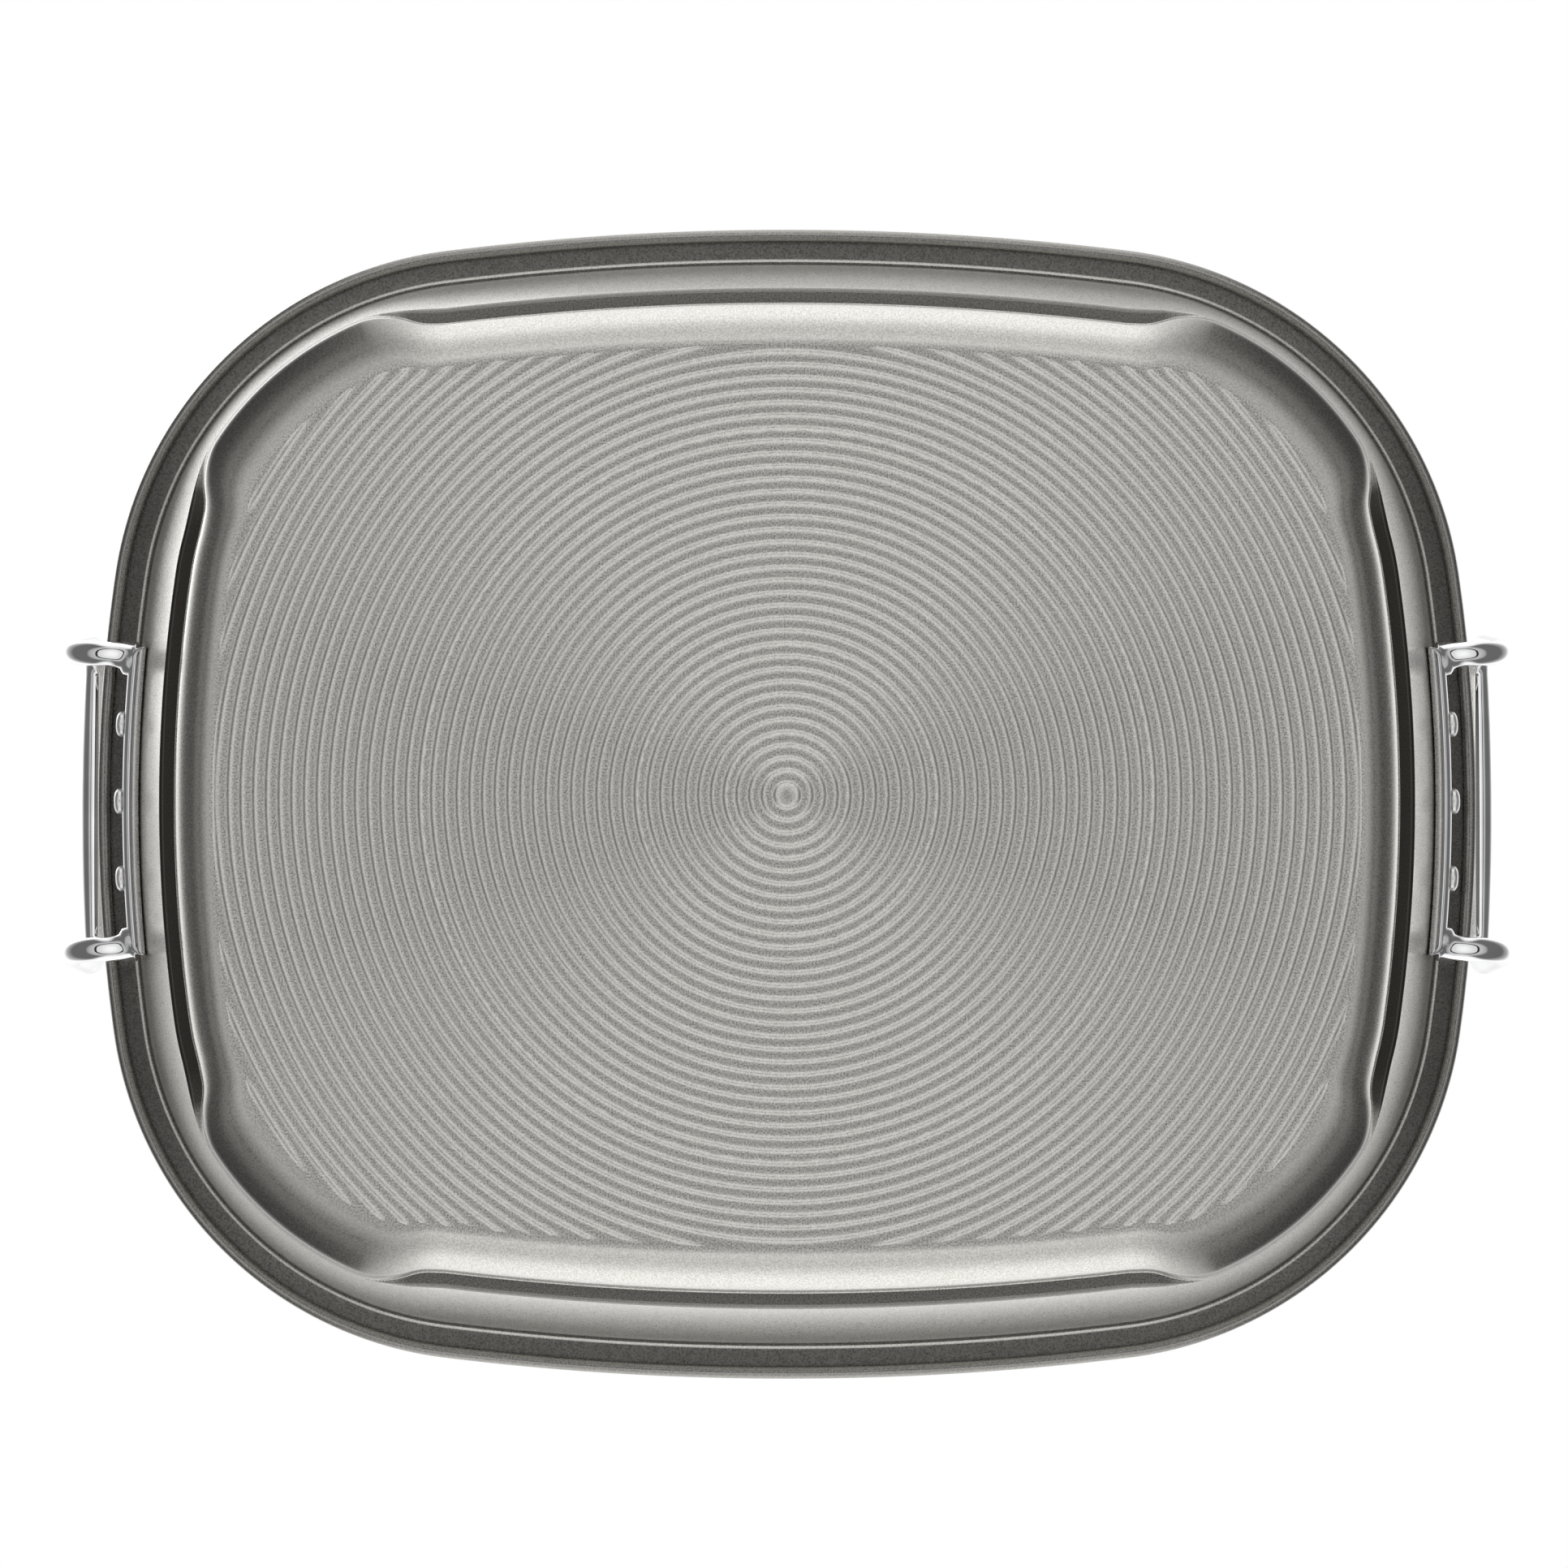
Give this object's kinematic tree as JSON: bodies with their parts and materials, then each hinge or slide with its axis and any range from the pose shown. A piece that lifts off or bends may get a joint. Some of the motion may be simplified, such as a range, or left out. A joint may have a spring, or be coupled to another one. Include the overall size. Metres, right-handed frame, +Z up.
{
  "type": "roasting pan with rack",
  "caption": "Rounded rectangular coated steel roasting pan with upright loop handles and a wire rack that rests on pressed wall ledges and has folding handles.",
  "frame": {"origin": "the middle of the overall box at the pan's flat base, where it stands", "axes": "+Z up, X from handle to handle along the pan's length, Y across its width"},
  "size_m": [0.4554, 0.3604, 0.1129],
  "materials": {
    "pan_coating": "satin warm grey coating with fine metal flake",
    "handle_chrome": "mirror plated",
    "rivet_steel": "polished",
    "rack_wire": "bright plated wire",
    "rim_steel": "bare wire inside the bead"
  },
  "bodies": {
    "pan": {"pan_body": "pan_coating", "rim_wire": "rim_steel", "handle_left": "handle_chrome", "handle_right": "handle_chrome", "rivet_left_front": "rivet_steel", "rivet_left_middle": "rivet_steel", "rivet_left_rear": "rivet_steel", "rivet_right_front": "rivet_steel", "rivet_right_middle": "rivet_steel", "rivet_right_rear": "rivet_steel"},
    "rack": {"rack_frame": "rack_wire", "rack_bearer_front": "rack_wire", "rack_bearer_middle": "rack_wire", "rack_bearer_rear": "rack_wire", "rack_cross_wire_01": "rack_wire", "rack_cross_wire_02": "rack_wire", "rack_cross_wire_03": "rack_wire", "rack_cross_wire_04": "rack_wire", "rack_cross_wire_05": "rack_wire", "rack_cross_wire_06": "rack_wire", "rack_cross_wire_07": "rack_wire", "rack_cross_wire_08": "rack_wire", "rack_cross_wire_09": "rack_wire", "rack_cross_wire_10": "rack_wire", "rack_cross_wire_11": "rack_wire", "rack_cross_wire_12": "rack_wire", "rack_cross_wire_13": "rack_wire", "rack_cross_wire_14": "rack_wire", "rack_cross_wire_15": "rack_wire", "rack_cross_wire_16": "rack_wire", "rack_cross_wire_17": "rack_wire", "rack_eye_left_front": "rack_wire", "rack_eye_left_rear": "rack_wire", "rack_eye_right_front": "rack_wire", "rack_eye_right_rear": "rack_wire"},
    "rack_handle_left": {"rack_handle_left": "rack_wire"},
    "rack_handle_right": {"rack_handle_right": "rack_wire"}
  },
  "joints": [
    {"name": "rack_lift", "type": "slide", "parent": "pan", "child": "rack", "axis": [0, 0, 1], "range_m": [0, 0.12]},
    {"name": "rack_handle_left_fold", "type": "hinge", "parent": "rack", "child": "rack_handle_left", "pos_m": [-0.16, 0, 0.0324], "axis": [0, -1, 0], "range_deg": [0, 138]},
    {"name": "rack_handle_right_fold", "type": "hinge", "parent": "rack", "child": "rack_handle_right", "pos_m": [0.16, 0, 0.0324], "axis": [0, 1, 0], "range_deg": [0, 138]}
  ]
}
